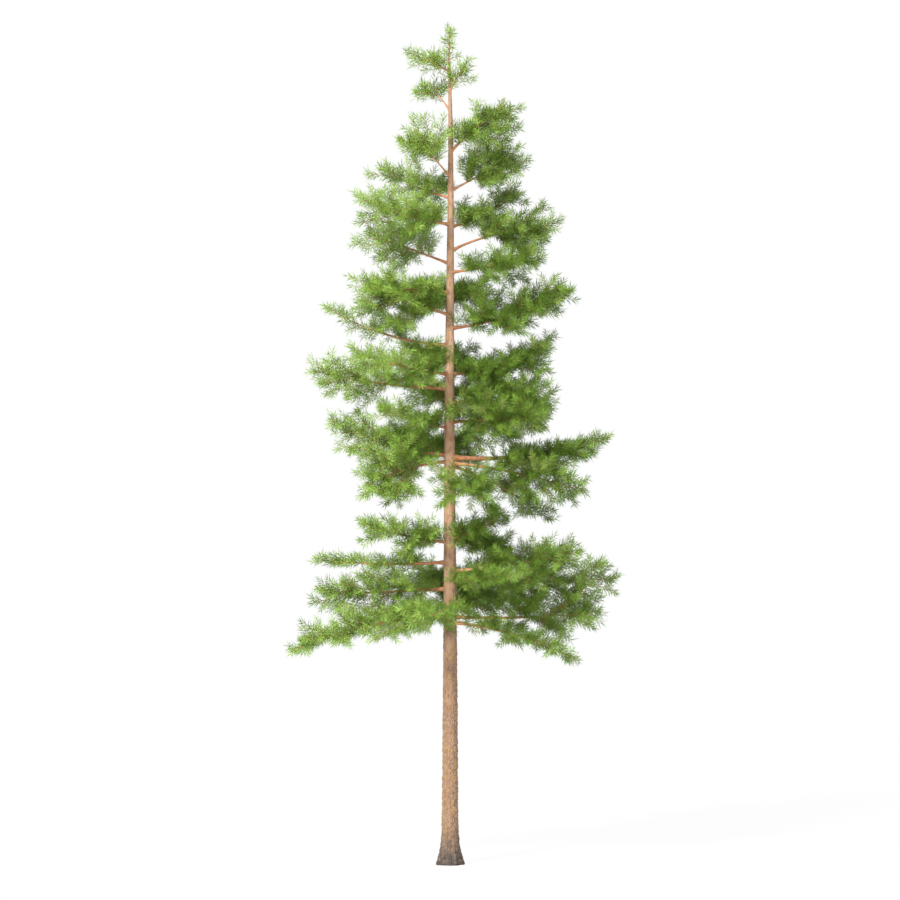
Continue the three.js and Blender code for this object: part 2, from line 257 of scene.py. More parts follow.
def tubes(centres, ways, radii, sides):
    """Tapering tubes closed by a point, which is their last ring: centres and ways (tubes, rings, 3), and
    radii (tubes, rings), or (tubes, rings, sides) where they aren't round. Gives points and faces."""
    count, rings = centres.shape[:2]
    side, over = across_of(ways)
    outward = turned(side[:, :, None], over[:, :, None], circle(sides))
    points = centres[:, :, None] + outward * radii.reshape(count, rings, -1, 1)
    body = points[:, :-1].reshape(-1, 3)
    index = np.arange(len(body)).reshape(count, rings - 1, sides)
    tips = len(body) + np.arange(count)[:, None]
    faces = np.vstack([ring_faces(index), fan_faces(index[:, -1], tips)])
    return np.vstack([body, centres[:, -1]]), faces


def joined(parts):
    """Several (points, faces) as one."""
    points, faces, first = [], [], 0
    for own_points, own_faces in parts:
        points.append(own_points)
        faces.append(own_faces + first)
        first += len(own_points)
    return np.vstack(points), np.vstack(faces)


# ---- materials
def linear(red, green, blue):
    """A colour given from 0 to 255 as the shader's numbers."""
    return tuple(((c / 255 + 0.055) / 1.055) ** 2.4 for c in (red, green, blue)) + (1.0,)


class Nodes:
    """A short way to lay out a material's nodes."""

    def __init__(self, name):
        self.material = bpy.data.materials.new(name)
        self.material.use_nodes = True
        self.tree = self.material.node_tree
        self.shader = self.tree.nodes["Principled BSDF"]

    def add(self, kind, inputs=None, **settings):
        """A new node. Its inputs, by name or number, are each a value or another node's output."""
        node = self.tree.nodes.new(kind)
        for key, value in settings.items():
            setattr(node, key, value)
        for key, value in (inputs or {}).items():
            if isinstance(value, bpy.types.NodeSocket):
                self.tree.links.new(value, node.inputs[key])
            else:
                node.inputs[key].default_value = value
        return node

    def places(self):
        return self.add("ShaderNodeTexCoord").outputs["Object"]

    def noise(self, places, scale, detail):
        inputs = {"Vector": places, "Scale": scale, "Detail": detail}
        return self.add("ShaderNodeTexNoise", inputs).outputs["Fac"]

    def ramp(self, value, stops):
        node = self.add("ShaderNodeValToRGB", {"Fac": value})
        elements = node.color_ramp.elements
        while len(elements) < len(stops):
            elements.new(1.0)
        for element, (position, colour) in zip(elements, stops):
            element.position = position
            element.color = linear(*colour)
        return node.outputs["Color"]

    def mix(self, share, first, second, blend="MIX"):
        """Two colours, which are this node's inputs 6 and 7 and its output 2."""
        inputs = {0: share, 6: first, 7: second}
        return self.add("ShaderNodeMix", inputs, data_type="RGBA", blend_type=blend).outputs[2]

    def stretch(self, value, span, to=(0.0, 1.0)):
        """The value with its span stretched to another one, and held at its ends."""
        ends = dict(zip(("From Min", "From Max", "To Min", "To Max"), span + to))
        return self.add("ShaderNodeMapRange", {"Value": value, **ends}).outputs["Result"]

    def bump(self, height, strength, distance, **more):
        inputs = {"Height": height, "Strength": strength, "Distance": distance, **more}
        return self.add("ShaderNodeBump", inputs).outputs["Normal"]

    def set(self, name, value):
        self.shader.inputs[name].default_value = value

    def link(self, name, output):
        self.tree.links.new(output, self.shader.inputs[name])


# Tones from 0 to 255, with their places on a ramp from 0 to 1.
PLATE_TONES = [(0.0, (91, 66, 53)), (0.28, (118, 88, 65)), (0.6, (133, 106, 71)), (1.0, (120, 99, 89))]
PATCH_TONES = [(0.3, (100, 79, 73)), (0.5, (116, 89, 67)), (0.7, (129, 105, 61))]
FURROW_TONE = (104, 78, 66)
# The lighter tones from about 4 m up, until the top's take over between 7 and 9 m, are partly the thinner
# young bark and partly painted light where the crown's shade falls on the trunk.
YOUNG_AND_PAINTED_LIGHT_TONES = [(0.0, (145, 109, 81)), (0.5, (170, 133, 100)), (1.0, (164, 135, 113))]
TOP_TONES = [(0.0, (131, 99, 72)), (0.5, (153, 119, 88)), (1.0, (148, 121, 101))]
FOOT_TONES = [(0.0, (47, 40, 34)), (0.5, (69, 58, 50)), (1.0, (93, 78, 66))]
# Other tones of flakes, and the heights from and to which they take over.
BARK_ZONES = [(YOUNG_AND_PAINTED_LIGHT_TONES, (3.4, 5.2)), (TOP_TONES, (7.2, 8.6)), (FOOT_TONES, (0.62, 0.1))]
# Darker towards the ground, in a band at the trunk's foot.
BOTTOM_BAND_TONE = (50, 43, 40)  # just above the ground
BOTTOM_BAND_HEIGHTS = (0.09, 0.0)
BOTTOM_BAND_SHARE = 0.75
BOUGH_TONES = [(0.3, (131, 85, 52)), (0.48, (155, 103, 67)), (0.6, (167, 119, 81)), (0.75, (148, 112, 86))]
TWIG_TONES = [(0.35, (120, 92, 54)), (0.5, (146, 108, 66)), (0.65, (164, 116, 72))]
FLAKE_SCALE = 34.0  # flakes to a metre
FLAKE_STRETCH = (1.0, 1.0, 0.45)  # makes flakes longer than they are wide
FLAKE_EDGE = (0.0, 0.12)  # from a flake's edge to where it lies flat
FURROW = (0.02, 0.34)  # of the relief, from a furrow's tone to a plate's
MIDDLE_OF_NOISE = (0.2, 0.8)
# Dealt by place further down as painted light and shade: deep ones mostly in shaded places, fresh and light
# ones mostly in lit ones.
NEEDLE_COLOURS = {
    "needles_deep": (80, 108, 27),
    "needles_green": (106, 137, 46),
    "needles_fresh": (123, 153, 61),
    "needles_light": (135, 163, 75),
    "needles_olive": (119, 138, 62),
}


def bark_material():
    """The trunk's bark: the furrows come from the mesh's relief, the flakes and the grain are drawn."""
    nodes = Nodes("pine_bark")
    places = nodes.places()
    height = nodes.add("ShaderNodeSeparateXYZ", {"Vector": places}).outputs["Z"]
    relief = nodes.add("ShaderNodeAttribute", attribute_name="relief").outputs["Fac"]
    stretched = nodes.add("ShaderNodeMapping", {"Vector": places, "Scale": FLAKE_STRETCH}).outputs["Vector"]
    cells = {"Vector": stretched, "Scale": FLAKE_SCALE}
    flakes = nodes.add("ShaderNodeTexVoronoi", cells).outputs["Color"]
    edges = nodes.add("ShaderNodeTexVoronoi", cells, feature="DISTANCE_TO_EDGE").outputs["Distance"]
    tone = nodes.add("ShaderNodeSeparateColor", {"Color": flakes}).outputs["Red"]
    patches = nodes.noise(stretched, scale=9.0, detail=4.0)
    grain = nodes.noise(stretched, scale=160.0, detail=3.0)

    plates = nodes.mix(0.5, nodes.ramp(tone, PLATE_TONES), nodes.ramp(patches, PATCH_TONES))
    colour = nodes.mix(nodes.stretch(relief, FURROW), linear(*FURROW_TONE), plates)
    # The young tones paint light on the trunk where the crown shades it.
    for tones, heights in BARK_ZONES:
        colour = nodes.mix(nodes.stretch(height, heights), colour, nodes.ramp(tone, tones))
    bottom_band = nodes.stretch(height, BOTTOM_BAND_HEIGHTS, to=(0.0, BOTTOM_BAND_SHARE))
    colour = nodes.mix(bottom_band, colour, linear(*BOTTOM_BAND_TONE))
    shade = nodes.stretch(grain, (0.3, 0.7), to=(0.88, 1.08))
    shades = nodes.add("ShaderNodeCombineColor", {"Red": shade, "Green": shade, "Blue": shade})
    nodes.link("Base Color", nodes.mix(1.0, colour, shades.outputs["Color"], "MULTIPLY"))
    nodes.link("Roughness", nodes.stretch(grain, MIDDLE_OF_NOISE, to=(0.78, 0.95)))
    lifted = nodes.bump(nodes.stretch(edges, FLAKE_EDGE), strength=0.6, distance=0.004)
    nodes.link("Normal", nodes.bump(grain, strength=0.5, distance=0.002, Normal=lifted))
    return nodes.material


def bough_material():
    nodes = Nodes("pine_bough_bark")
    patches = nodes.noise(nodes.places(), scale=22.0, detail=5.0)
    nodes.link("Base Color", nodes.ramp(patches, BOUGH_TONES))
    nodes.link("Roughness", nodes.stretch(patches, MIDDLE_OF_NOISE, to=(0.7, 0.92)))
    nodes.link("Normal", nodes.bump(patches, strength=0.7, distance=0.004))
    return nodes.material


def twig_material():
    nodes = Nodes("pine_twig")
    patches = nodes.noise(nodes.places(), scale=12.0, detail=4.0)
    nodes.link("Base Color", nodes.ramp(patches, TWIG_TONES))
    nodes.link("Roughness", nodes.stretch(patches, MIDDLE_OF_NOISE, to=(0.65, 0.85)))
    return nodes.material


def needle_material(name, colour):
    nodes = Nodes(name)
    nodes.set("Base Color", linear(*colour))
    nodes.set("Roughness", 0.55)
    nodes.set("Specular IOR Level", 0.25)
    nodes.material.diffuse_color = linear(*colour)
    return nodes.material


# ---- the trunk
TRUNK_SIDES = 88
TRUNK_ROWS = 690
ROW_CROWDING = 0.45  # 0 spaces the rows evenly, more brings them closer together near the ground
PLATES_AROUND = 13
PLATE_HEIGHT = 0.085
PLATE_EDGE = 0.22  # from its edge to where a plate has its full height, with plates 1 apart
PLATE_RAISED = 0.45  # how far each plate is raised at its middle
PLATES_DIFFER = 0.4  # how much more some plates are raised than others
PLATE_TILT = 0.32  # how much less a plate is raised one plate's height further up
FINE_SHARE = 0.3  # the share of the relief that comes from finer plates, half the size
FINE_EDGE = 0.2
FINE_RAISED = 0.4
MEAN_RAISED = 0.4  # bark raised this far lies on the source's surface
BARK_RELIEF = 0.024  # the depth of the bark low on the trunk
THIN_BARK = 0.28  # what is left of it high up
THIN_HEIGHTS = (5.5, 1.8)  # from where to where the bark gets thicker downwards
FOOT_RELIEF = 0.4  # how much deeper it is at the ground
ROOT_HEIGHTS = (0.35, 0.05)  # from where to where the ridges over the roots rise downwards
ROOT_RELIEF = 0.006


def trunk_centre(height):
    height = np.asarray(height, float)
    share = height / TREE_HEIGHT
    sway = TRUNK_SWAY * share * np.sin(3 * math.pi * share)
    return np.stack([sway - TIP_LEAN * share**16, SWAY_BACK * sway, height], axis=-1)


def trunk_radius(height, angle=0.0):
    stem = TRUNK_RADIUS * (1 - height / TREE_HEIGHT) ** TRUNK_TAPER
    foot = np.exp(-((height / FLARE_HEIGHT) ** FLARE_FALL))
    return (stem + FLARE_RADIUS * foot) * (1 + FLARE_DEPTH * foot * np.cos(FLARE_LOBES * angle))


def scattered(column, row, salt):
    """A number from 0 to 1 for each column and row, by the common rule of a sine's far decimals."""
    mixed = np.sin(column * 127.1 + row * 311.7 + salt * 74.7) * 43758.5453
    return mixed - np.floor(mixed)


def bark_plates(turn, rise, around):
    """Plates of bark, from turn (0 to 1 round the trunk) and rise (in plates up it).

    Gives each place's nearness to its plate's edge (0 at the edge), its plate's own number, and how far up
    its plate it lies. A plate is all that lies nearest to its middle, and the middles are strewn about in a
    grid's fields."""
    far = 9.0
    u = turn * around
    column = np.floor(u)
    row = np.floor(rise)
    nearest = np.full(u.shape, far)
    second = np.full(u.shape, far)
    own = np.zeros(u.shape)
    upward = np.zeros(u.shape)
    for across in (-1, 0, 1):
        for up in (-1, 0, 1):
            at_column = column + across
            at_row = row + up
            wrapped = np.mod(at_column, around)
            x = at_column + 0.15 + 0.7 * scattered(wrapped, at_row, 1)
            y = at_row + 0.1 + 0.8 * scattered(wrapped, at_row, 2)
            away = np.hypot(u - x, rise - y)
            closer = away < nearest
            second = np.where(closer, nearest, np.minimum(second, away))
            own = np.where(closer, scattered(wrapped, at_row, 3), own)
            upward = np.where(closer, rise - y, upward)
            nearest = np.where(closer, away, nearest)
    return second - nearest, own, upward


def bark_relief(turn, height):
    """How far its plates and the finer ones on them raise the bark, from 0 in the furrows to about 1."""
    edge, own, upward = bark_plates(turn, height / PLATE_HEIGHT, PLATES_AROUND)
    plate = smoothstep(0, PLATE_EDGE, edge) * (PLATE_RAISED + PLATES_DIFFER * own - PLATE_TILT * upward)
    edge, own, _ = bark_plates(turn, height / (0.5 * PLATE_HEIGHT), 2 * PLATES_AROUND)
    fine = smoothstep(0, FINE_EDGE, edge) * (FINE_RAISED + (1 - FINE_RAISED) * own)
    return (1 - FINE_SHARE) * plate + FINE_SHARE * fine


def build_trunk():
    """A closed trunk with its relief in the mesh, which also holds it as a value for the material."""
    share = np.linspace(0, 1, TRUNK_ROWS)
    height = TRUNK_TOP * ((1 - ROW_CROWDING) * share + ROW_CROWDING * share**2)
    heights, angles = np.meshgrid(height, circle(TRUNK_SIDES), indexing="ij")
    raised = bark_relief(angles / (2 * math.pi), heights)
    depth = BARK_RELIEF * (THIN_BARK + (1 - THIN_BARK) * smoothstep(*THIN_HEIGHTS, heights))
    depth = depth * (1 + FOOT_RELIEF * smoothstep(ROOT_HEIGHTS[0], 0, heights))
    radius = trunk_radius(heights, angles) + depth * (raised - MEAN_RAISED)
    ridge = np.sin(11 * angles + 2 * np.sin(3 * heights)) + 0.6 * np.sin(17 * angles + 1.3)
    radius += ROOT_RELIEF * ridge * smoothstep(*ROOT_HEIGHTS, heights)
    outward = np.stack([np.cos(angles), np.sin(angles), np.zeros(angles.shape)], axis=-1)
    points = (trunk_centre(heights) + radius[..., None] * outward).reshape(-1, 3)
    index = np.arange(len(points)).reshape(TRUNK_ROWS, TRUNK_SIDES)
    bottom, top = len(points), len(points) + 1
    points = np.vstack([points, trunk_centre(0.0), trunk_centre(TRUNK_TOP)])
    faces = np.vstack([ring_faces(index), fan_faces(index[0, ::-1], bottom), fan_faces(index[-1], top)])
    piece = mesh_object("trunk_bark", points, faces, [bark_material()])
    relief = piece.data.attributes.new("relief", "FLOAT", "POINT")
    relief.data.foreach_set("value", np.append(raised.ravel(), [0.5, 0.5]).astype(np.float32))
    dress(piece, "bark", "trunk")


# ---- limbs and their twigs, by the source's rule
class Limb:
    """A limb along a curve with one bend, from the trunk's axis to its tip."""

    own = False  # unless its row says that it is

    def __init__(self, row):
        for column, value in zip(COLUMNS, row):
            setattr(self, column, 0.001 * value if column in LENGTH_COLUMNS else value)
        foot = trunk_centre(self.height)
        azimuth = math.radians(self.azimuth)
        way = np.array([math.cos(azimuth), math.sin(azimuth), 0.0])
        half = self.reach / 2
        knee = foot + way * half + UP * half * math.tan(math.radians(self.rise))
        tip = foot + way * self.reach + UP * self.lift
        self.corners = [foot, knee, tip]
        self.girth = WOOD_SHARE * (RADIUS_BY_REACH * self.reach + LIMB_RADIUS) * GIRTHS.get(self.name, 1)

    def point(self, t):
        t = np.asarray(t, float)[..., None]
        foot, knee, tip = self.corners
        return (1 - t) ** 2 * foot + 2 * t * (1 - t) * knee + t**2 * tip

    def way(self, t):
        t = np.asarray(t, float)[..., None]
        foot, knee, tip = self.corners
        return unit((1 - t) * (knee - foot) + t * (tip - knee))

    def radius(self, t):
        taper = 1 - (1 - TIP_RADIUS_SHARE) * t**LIMB_TAPER
        return self.girth * taper * (1 - FINER_END * smoothstep(FINER_FROM, 1, t))


def twig_point(foot, along, length, share):
    """Places along twigs, which curve up a little towards their tips."""
    return foot + length * (along * share + UP * TWIG_CURL * share * share)


def twig_way(along, share):
    return unit(along + UP * 2 * TWIG_CURL * share)


class Twig:
    """A twig, of order 1 where it has shoots and 2 where it is one. A kept twig isn't thinned."""

    kept = False

    def __init__(self, foot, along, length, radius, order):
        self.foot = foot
        self.along = along
        self.length = length
        self.radius = radius
        self.order = order

    def point(self, share):
        return twig_point(self.foot, self.along, self.length, share)

    def way(self, share):
        return twig_way(self.along, share)


TWIG_RADIUS = 0.0028
RADIUS_BY_LENGTH = 0.0065  # what a twig's length adds to its radius
SHOOT_RADIUS = 0.00345
LIMB_SHOOT_RADIUS = 0.00358
LEADER_TWIG_RADIUS = 0.004


def side_twigs(parent, start, end, count, fan, up, down, random):
    """The side twigs of a limb or twig: feet, directions, lengths and places along it.

    They stand in turn on its two sides, two raised and two drooping, lean forward more towards the tip, and
    shorten there. The numbers are the source's."""
    found = []
    for i in range(count):
        share = (i + 0.35 + 0.4 * random()) / count
        t = start + (end - start) * share
        along = parent.way(t)
        side, over = across_of(along)
        hand = 1 if i % 2 else -1
        lean = -down if (i >> 1) % 2 else up
        pitch = math.radians(lean * (1.15 - 0.5 * share) + 16 * (random() - 0.5))
        opening = math.radians(62 - 22 * share + 14 * (random() - 0.5))
        way = (
            along * math.cos(opening)
            + side * hand * math.cos(pitch) * math.sin(opening)
            + over * math.sin(pitch) * math.sin(opening)
        )
        length = fan * (0.62 + 0.38 * math.sin(math.pi * (0.2 + 0.75 * share))) * (0.85 + 0.3 * random())
        found.append((parent.point(t), unit(way), length, t))
    return found


def spray(foot, along, length, radius, random):
    """A twig and its shoots: the rule again, one step finer, with a seed of its own."""
    twig = Twig(foot, along, length, radius, 1)
    count = max(FEWEST_SHOOTS, round(length / SHOOT_SPACING))
    shortest, longest = SHOOT_LENGTHS
    fan = min(max(length * SHOOT_SHARE, shortest), longest)
    own_random = seeded(math.floor(1 + 1e6 * random()))
    found = [twig]
    for at, way, reach, t in side_twigs(twig, *SHOOT_STRETCH, count, fan, SHOOT_UP, SHOOT_DOWN, own_random):
        reach = min(reach, (1 - t) * length + SHOOT_PAST)
        found.append(Twig(at, way, reach, SHOOT_RADIUS, 2))
    return found


def limb_twigs(limb, index):
    """The limb's twigs as the source draws them, then its filling twigs and its inner ones by the trunk.

    Each has its shoots, and the shoots on the limb itself come last."""
    random = seeded(index + 1)
    found = []

    def add_sprays(places, past=0.0):
        for foot, along, length, _ in places:
            length -= past
            radius = TWIG_RADIUS + RADIUS_BY_LENGTH * length
            found.extend(spray(foot, along, length, radius, random))

    start = max(limb.bare, FIRST_TWIG)
    sides = side_twigs(limb, start, LAST_TWIG, limb.twigs, limb.fan, limb.up, limb.down, random)
    foot = limb.point(END_TWIG)
    length = max(np.linalg.norm(limb.point(1.0) - foot), SHORTEST_END_TWIG)
    add_sprays([(foot, limb.way(STEM_END), length, STEM_END)], PAST_TIP)
    if limb.height < KEPT_BELOW:
        for twig in found:
            twig.kept = True
    add_sprays(sides, PAST_TIP)

    many, steep, fan, end = FILLS.get(limb.name, FILLING)
    up, down = limb.up * steep, limb.down * steep
    add_sprays(side_twigs(limb, start, end, round(many * limb.twigs), limb.fan * fan, up, down, random))

    leafy = limb.name in LEAFY_FEET
    if leafy or limb.bare < BARE_ENOUGH and limb.name not in OPEN_FEET:
        fan = INNER_LENGTHS.get(limb.name, INNER_LENGTH) * (LEAFY_SHARE if leafy else 1)
        add_sprays(side_twigs(limb, *INNER_STRETCH, INNER_TWIGS, fan, SHOOT_UP, SHOOT_DOWN, random))

    count = int((STEM_END - start) * limb.reach / LIMB_SHOOT_SPACING)
    stretch = (start - LIMB_SHOOTS_EARLY, LIMB_SHOOTS_END)
    shoots = side_twigs(limb, *stretch, count, LIMB_SHOOT_LENGTH, SHOOT_UP, SHOOT_DOWN, random)
    for foot, along, length, t in shoots:
        length = min(length, (1 - t) * limb.reach + SHOOT_PAST)
        found.append(Twig(foot, along, length, LIMB_SHOOT_RADIUS, 2))
    return found


def leader_twigs():
    """The last shoot's side shoots, which climb round it, and its top. The numbers are the source's."""
    foot = trunk_centre(TRUNK_TOP)
    random = seeded(len(LIMB_ROWS) + 1)
    drawn = []
    for i in range(LEADER_SHOOTS):
        share = i / (LEADER_SHOOTS - 1)
        angle = math.radians(i * LEADER_TURN)
        along = unit(np.array([math.cos(angle), math.sin(angle), LEADER_RISE + share]))
        at = foot + UP * LEADER_STEM * (0.15 + 0.8 * share)
        drawn.append((at, along, LEADER_SIDE * (1 - 0.35 * share)))
    drawn.append((foot + UP * LEADER_STEM * 0.8, unit(np.array([-0.08, 0.05, 1.0])), LEADER_TOP))
    found = []
    for at, along, length in drawn:
        found += spray(at, along, length - PAST_TIP, LEADER_TWIG_RADIUS, random)
    return found


# ---- wood
BOUGH_SIDES = 10
BOUGH_RING_SPACING = 0.04
FEWEST_RINGS = 12
FOOT_DEPTH = 0.4  # how far from the trunk's axis a limb's wood starts, as a share of the trunk's radius
COLLAR = 0.55  # how much wider a limb is where it leaves the trunk
COLLAR_LENGTH = 0.05
KNOT_WAVES = 0.1
KNOT_ROUGHNESS = 0.06
LIMB_SWAY = 0.12  # as a share of the limb's radius at its foot
LEADER_RINGS = 8
LEADER_TAPER = 0.7
TWIG_TAPER = 0.75
TWIG_RINGS_SIDES = (8, 5)  # of the wood of one twig
SHOOT_RINGS_SIDES = (3, 3)


def bough_wood(limb, index):
    """A limb's wood from inside the trunk to its tip, a little knotted, with a collar at the trunk."""
    rings = max(FEWEST_RINGS, int(limb.reach / BOUGH_RING_SPACING))
    own_trunk = trunk_radius(limb.height)
    t = np.linspace(FOOT_DEPTH * own_trunk / limb.reach, 1, rings)
    out = t * limb.reach - own_trunk
    collar = 1 + COLLAR * np.exp(-np.maximum(out, 0) / COLLAR_LENGTH)
    angle = circle(BOUGH_SIDES)[None]
    long_waves = np.sin(3 * angle + 9 * out[:, None] + index)
    short_waves = np.sin(23 * out[:, None] + 2 * angle + 1.7 * index)
    rough = scattered(np.arange(rings)[:, None], angle * 9, index) - 0.5
    knots = 1 + KNOT_WAVES * long_waves * short_waves + KNOT_ROUGHNESS * rough
    radii = limb.radius(t)[:, None] * collar[:, None] * knots
    ways = limb.way(t)
    side, _ = across_of(ways)
    sway = LIMB_SWAY * limb.girth * np.sin(7 * out + index)
    centres = limb.point(t) + side * sway[:, None]
    return tubes(centres[None], ways[None], radii[None], BOUGH_SIDES)


def leader_wood():
    """The leader's stem. Its way is a very little off upright, as across_of needs it."""
    share = np.linspace(0, 1, LEADER_RINGS)
    centres = trunk_centre(TRUNK_TOP) + UP * LEADER_STEM * share[:, None]
    ways = unit(np.tile([0.001, 0.0, 1.0], (LEADER_RINGS, 1)))
    radii = trunk_radius(TRUNK_TOP) * (1 - LEADER_TAPER * share)
    return tubes(centres[None], ways[None], radii[None], BOUGH_SIDES)


def arrays_of(twigs, *names):
    """The twigs' values of each name as an array."""
    return [np.array([getattr(twig, name) for twig in twigs]) for name in names]


def twig_wood(twigs, rings, sides):
    """The twigs' wood, which tapers evenly and ends in a point."""
    foot, along, length, radius = arrays_of(twigs, "foot", "along", "length", "radius")
    share = np.linspace(0, 1, rings)
    places = share[None, :, None]
    centres = twig_point(foot[:, None], along[:, None], length[:, None, None], places)
    radii = radius[:, None] * (1 - TWIG_TAPER * share)[None]
    return tubes(centres, twig_way(along[:, None], places), radii, sides)


# ---- needles
PAIRS_PER_METRE = 140
TWIG_DENSITY = 0.8  # of pairs on a twig of the first order, as a share of those on a shoot
FEWEST_PAIRS = 5
NEEDLE_LENGTH = 0.106
NEEDLE_WIDTH = 0.0073
NEEDLE_LEAN = 56  # degrees from the twig, near the twig's foot
LEAN_LOSS = 32  # how much less it is at the twig's tip
# How far these differ from needle to needle, in all, as a share of their mean.
PLACE_SPREAD = 0.6
LENGTH_SPREAD = 0.44
PAIR_SPREAD = 0.12
LEAN_SPREAD = 24  # in degrees
PAIR_TURNS = (0.1, 0.24)  # how far a pair's needles are turned apart round the twig, each way, in radians
BELLY = 0.42  # where along a needle it is widest
NEEDLE_FOLD = 0.5  # how deep it is folded there, as a share of half its width
NEEDLE_BEND = 0.05  # how far its tip is bent back, as a share of its length


def needle_pairs(twigs, colours, thickness, rng):
    """Pairs of needles all round each twig, as points, faces and each face's colour number.

    A needle is a blade of two faces, folded along its middle. Thickness is the share of its pairs that each
    twig has."""
    foot, along, length, order = arrays_of(twigs, "foot", "along", "length", "order")
    dense = PAIRS_PER_METRE * thickness * np.where(order == 1, TWIG_DENSITY, 1.0)
    counts = np.maximum(FEWEST_PAIRS, length * dense).astype(int)
    owner = np.repeat(np.arange(len(twigs)), counts)
    pairs = len(owner)
    place = np.arange(pairs) - np.repeat(np.cumsum(counts) - counts, counts)
    share = (place + 0.5 + PLACE_SPREAD * (rng.random(pairs) - 0.5)) / counts[owner]
    share = share[:, None]
    at = twig_point(foot[owner], along[owner], length[owner][:, None], share)
    way = twig_way(along[owner], share)
    side, over = across_of(way)
    angle = place * GOLDEN_ANGLE + rng.random(len(twigs))[owner] * 2 * math.pi
    outward = turned(side, over, angle)
    lean = NEEDLE_LEAN - LEAN_LOSS * share[:, 0] ** 3 + LEAN_SPREAD * (rng.random(pairs) - 0.5)
    lean = np.radians(lean)
    size = NEEDLE_LENGTH * (1 + LENGTH_SPREAD * (rng.random(pairs) - 0.5))
    half = 0.5 * NEEDLE_WIDTH
    least, most = PAIR_TURNS
    blades = []
    for hand in (-1, 1):
        spin = hand * (least + (most - least) * rng.random(pairs))
        spun = unit(outward + np.cross(way, outward) * spin[:, None])
        ahead = turned(way, spun, lean)
        flat, back = across_of(ahead)
        wide = turned(flat, back, rng.random(pairs) * math.pi)
        deep = np.cross(ahead, wide)
        reach = size[:, None] * (1 + PAIR_SPREAD * (rng.random((pairs, 1)) - 0.5))
        belly = at + ahead * reach * BELLY + deep * half * NEEDLE_FOLD
        tip = at + ahead * reach - deep * reach * NEEDLE_BEND
        blades.append(np.stack([at, belly + wide * half, tip, belly - wide * half], axis=1))
    points = np.concatenate(blades, axis=1).reshape(-1, 3)
    first = 8 * np.arange(pairs)[:, None, None]
    pattern = np.array([[0, 1, 2], [0, 2, 3], [4, 5, 6], [4, 6, 7]])
    faces = (first + pattern[None]).reshape(-1, 3)
    return points, faces, np.repeat(colours[owner], 4)


# ---- light and shade in the crown
# These rules paint light and shade into the needles' colours, lighter to the left, far out and high up and
# darker to the right and inside; the same light also thins the crown.
# A rule is the most that it gives, and from where to where it grows to that, in metres.
LIT_LEFT = (0.8, 0.4, -0.8)  # by the place from left to right
LIT_OUTSIDE = (0.1, 0.9, 2.1)  # by the distance from the trunk's axis
LIT_ABOVE = (0.6, 7.0, 11.5)  # by the height
THIN_IN_LIGHT = 0.5  # what full light takes of shoots and needles
THINNER_ABOVE = (0.12, 4.2, 6.5)  # how much more it takes, by the height
SPARED_INSIDE = (0.5, 1.1, 0.5)  # how much of that is spared, by the distance from the trunk's axis
THIN_TOP = (0.38, 10.3, 11.2)  # by the height
THIN_RIGHT = (0.46, 0.6, 1.7)  # by the place from left to right
RIGHT_BELOW = (1.0, 6.0, 5.0)  # how far that holds, by the height
THIN_FRONT = (0.5, 0.42, 0.12)  # by the distance to either side of the trunk's axis
CROSSED = [7.0, 8.0]  # heights at which sprays cross in front of the trunk
CROSSING = (1.0, 0.35, 0.1)  # by the distance up or down from there
# Painted shade and painted light: the colours' shares in the shadiest and in the sunniest places.
PAINTED_SHADE_SHARES = np.array([0.6, 0.3, 0.02, 0.0, 0.08])  # of the needles' colours, in their order
PAINTED_LIGHT_SHARES = np.array([0.06, 0.24, 0.5, 0.14, 0.06])


def grown(rule, values):
    """What a rule gives for each value."""
    most, low, high = rule
    return most * smoothstep(low, high, values)


def middles(twigs):
    """The x, y and z of the twigs' middles."""
    return np.array([twig.point(0.5) for twig in twigs]).T


def sunny(twigs):
    """How sunny each twig's place is, from 0 to 1, set by place and not by the lamps: more to the left, far
    from the trunk, and high up. It drives the painted light and shade in the needles' colours, and the
    thinning.
    """
    x, y, z = middles(twigs)
    return np.clip(grown(LIT_LEFT, x) + grown(LIT_OUTSIDE, np.hypot(x, y)) + grown(LIT_ABOVE, z), 0, 1)


def thinning(twigs, light):
    """How much of its shoots and needles a twig keeps.

    That is less in the sun, most of all high up and far out, less at the tree's top and out to the right
    below, and less in front of the trunk, which shows through there but for two heights where sprays cross.
    A kept twig keeps all."""
    x, y, z = middles(twigs)
    spared = grown(SPARED_INSIDE, np.hypot(x, y))
    share = 1 - light * (THIN_IN_LIGHT + grown(THINNER_ABOVE, z)) * (1 - spared)
    share -= grown(THIN_TOP, z)
    share *= 1 - grown(THIN_RIGHT, x) * grown(RIGHT_BELOW, z)
    crossed = sum(grown(CROSSING, np.abs(z - level)) for level in CROSSED)
    share *= 1 - grown(THIN_FRONT, np.abs(x)) * (y < 0) * (1 - crossed)
    return np.where([twig.kept for twig in twigs], 1.0, share)


def deal_colours_by_painted_light(light, rng):
    """A colour number for each twig, with painted light and shade: the sunnier its place, the lighter its
    needles' colour is likely to be.
    """
    shares = PAINTED_SHADE_SHARES + (PAINTED_LIGHT_SHARES - PAINTED_SHADE_SHARES) * light[:, None]
    return (rng.random((len(light), 1)) > np.cumsum(shares, axis=1)[:, :-1]).sum(axis=1)


# ---- the boughs and the foliage
SECTIONS = {
    "whorl_1": ["01"],
    "whorl_2": ["02"],
    "whorls_3_4": ["03", "04"],
    "whorl_5": ["05"],
    "whorls_6_7": ["06", "07"],
    "whorls_8_9": ["08", "09"],
    "whorls_10_12": ["10", "11", "12"],
    "whorls_13_14": ["13", "14"],
    "top": ["15", "16", "17", "18", "19", "leader"],
}


def build_boughs(limbs):
    """All limbs' wood and the leader's stem in one mesh, which stands for the limbs that are nodes."""
    parts = [bough_wood(limb, index) for index, limb in enumerate(limbs)] + [leader_wood()]
    piece = mesh_object("boughs_bark", *joined(parts), [bough_material()])
    dress(piece, "bough_bark", *["bough_" + limb.name for limb in limbs if limb.own])


